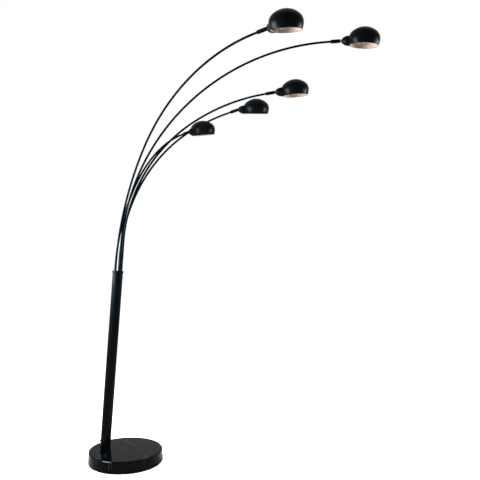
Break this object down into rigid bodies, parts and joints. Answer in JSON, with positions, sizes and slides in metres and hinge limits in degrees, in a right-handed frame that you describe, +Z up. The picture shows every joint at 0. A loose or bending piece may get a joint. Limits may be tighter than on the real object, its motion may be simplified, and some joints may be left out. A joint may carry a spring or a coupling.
{
  "type": "floor lamp",
  "caption": "Floor lamp with a round marble base, a leaning pole and bent arms that fan out from its cap, each with a small dome shade on a ball joint.",
  "frame": {"origin": "centre of the base's underside, on the floor", "axes": "+Z up; +X to the lamp's right seen from the front, the side the arms reach to; +Y to the back"},
  "size_m": [1.4261, 1.2635, 2.1216],
  "materials": {
    "marble": "polished",
    "felt": "matte",
    "black_enamel": "satin",
    "shade_enamel": "satin",
    "black_steel": "satin",
    "steel": "satin",
    "black_plastic": "matte",
    "white_plastic": "matte",
    "cable": "matte",
    "bulb_glass": "satin"
  },
  "bodies": {
    "stand": {"marble_base": "marble", "base_felt": "felt", "clamp_plate": "steel", "base_bolt": "steel", "foot_plug": "steel", "pole_tube": "black_enamel", "arm_cap": "black_enamel", "stem_guide": "black_plastic", "guide_bolt": "steel", "cap_screws": "black_steel", "cable_gland": "black_plastic", "feed_lead": "cable", "terminal_block": "white_plastic"},
    "arm_1": {"arm_tube_1": "black_enamel", "arm_sleeve_1": "black_enamel", "sleeve_ring_1": "black_steel"},
    "stud_1": {"ball_stud_1": "black_steel"},
    "head_1": {"socket_cup_1": "shade_enamel", "shade_1": "shade_enamel", "lampholder_1": "black_plastic", "shade_ring_1": "black_plastic", "bulb_1": "bulb_glass"},
    "arm_2": {"arm_tube_2": "black_enamel", "arm_sleeve_2": "black_enamel", "sleeve_ring_2": "black_steel"},
    "stud_2": {"ball_stud_2": "black_steel"},
    "head_2": {"socket_cup_2": "shade_enamel", "shade_2": "shade_enamel", "lampholder_2": "black_plastic", "shade_ring_2": "black_plastic", "bulb_2": "bulb_glass"},
    "arm_3": {"arm_tube_3": "black_enamel", "arm_sleeve_3": "black_enamel", "sleeve_ring_3": "black_steel"},
    "stud_3": {"ball_stud_3": "black_steel"},
    "head_3": {"socket_cup_3": "shade_enamel", "shade_3": "shade_enamel", "lampholder_3": "black_plastic", "shade_ring_3": "black_plastic", "bulb_3": "bulb_glass"},
    "arm_4": {"arm_tube_4": "black_enamel", "arm_sleeve_4": "black_enamel", "sleeve_ring_4": "black_steel"},
    "stud_4": {"ball_stud_4": "black_steel"},
    "head_4": {"socket_cup_4": "shade_enamel", "shade_4": "shade_enamel", "lampholder_4": "black_plastic", "shade_ring_4": "black_plastic", "bulb_4": "bulb_glass"},
    "arm_5": {"arm_tube_5": "black_enamel", "arm_sleeve_5": "black_enamel", "sleeve_ring_5": "black_steel"},
    "stud_5": {"ball_stud_5": "black_steel"},
    "head_5": {"socket_cup_5": "shade_enamel", "shade_5": "shade_enamel", "lampholder_5": "black_plastic", "shade_ring_5": "black_plastic", "bulb_5": "bulb_glass"}
  },
  "joints": [
    {"name": "arm_swivel_1", "type": "hinge", "parent": "stand", "child": "arm_1", "pos_m": [-0.06694, 0.07367, 0.94375], "axis": [0.0598, 0.0598, 0.9964], "range_deg": [-12, 6]},
    {"name": "head_twist_1", "type": "hinge", "parent": "arm_1", "child": "stud_1", "pos_m": [0.68975, -0.37238, 2.0167], "axis": [0.8051, -0.5813, 0.1176], "range_deg": [-25, 25]},
    {"name": "head_tilt_1", "type": "hinge", "parent": "stud_1", "child": "head_1", "pos_m": [0.68975, -0.37238, 2.0167], "axis": [0.7226, 0.6759, 0.1452], "range_deg": [-30, 15]},
    {"name": "arm_swivel_2", "type": "hinge", "parent": "stand", "child": "arm_2", "pos_m": [-0.04701, 0.0729, 0.9426], "axis": [0.0598, 0.0598, 0.9964], "range_deg": [-6, 8]},
    {"name": "head_twist_2", "type": "hinge", "parent": "arm_2", "child": "stud_2", "pos_m": [1.06523, -0.06843, 2.0667], "axis": [0.9807, -0.1956, 0.0054], "range_deg": [-25, 25]},
    {"name": "head_tilt_2", "type": "hinge", "parent": "stud_2", "child": "head_2", "pos_m": [1.06523, -0.06843, 2.0667], "axis": [0.3118, 0.9462, 0.0868], "range_deg": [-30, 20]},
    {"name": "arm_swivel_3", "type": "hinge", "parent": "stand", "child": "arm_3", "pos_m": [-0.04018, 0.09162, 0.94107], "axis": [0.0598, 0.0598, 0.9964], "range_deg": [-8, 8]},
    {"name": "head_twist_3", "type": "hinge", "parent": "arm_3", "child": "stud_3", "pos_m": [0.76399, 0.27306, 1.90602], "axis": [0.962, 0.17, 0.2138], "range_deg": [-25, 25]},
    {"name": "head_tilt_3", "type": "hinge", "parent": "stud_3", "child": "head_3", "pos_m": [0.76399, 0.27306, 1.90602], "axis": [-0.1197, 0.9882, 0.0956], "range_deg": [-30, 20]},
    {"name": "arm_swivel_4", "type": "hinge", "parent": "stand", "child": "arm_4", "pos_m": [-0.0559, 0.10396, 0.94127], "axis": [0.0598, 0.0598, 0.9964], "range_deg": [-8, 6]},
    {"name": "head_twist_4", "type": "hinge", "parent": "arm_4", "child": "stud_4", "pos_m": [0.56058, 0.49911, 1.86257], "axis": [0.7869, 0.4856, 0.3808], "range_deg": [-25, 25]},
    {"name": "head_tilt_4", "type": "hinge", "parent": "stud_4", "child": "head_4", "pos_m": [0.56058, 0.49911, 1.86257], "axis": [-0.2531, 0.9445, 0.2094], "range_deg": [-30, 8]},
    {"name": "arm_swivel_5", "type": "hinge", "parent": "stand", "child": "arm_5", "pos_m": [-0.07244, 0.09286, 0.94293], "axis": [0.0598, 0.0598, 0.9964], "range_deg": [-6, 12]},
    {"name": "head_twist_5", "type": "hinge", "parent": "arm_5", "child": "stud_5", "pos_m": [0.26764, 0.59039, 1.7506], "axis": [0.5126, 0.7776, 0.3641], "range_deg": [-25, 25]},
    {"name": "head_tilt_5", "type": "hinge", "parent": "stud_5", "child": "head_5", "pos_m": [0.26764, 0.59039, 1.7506], "axis": [-0.7112, 0.7007, 0.0568], "range_deg": [-30, 15]}
  ]
}
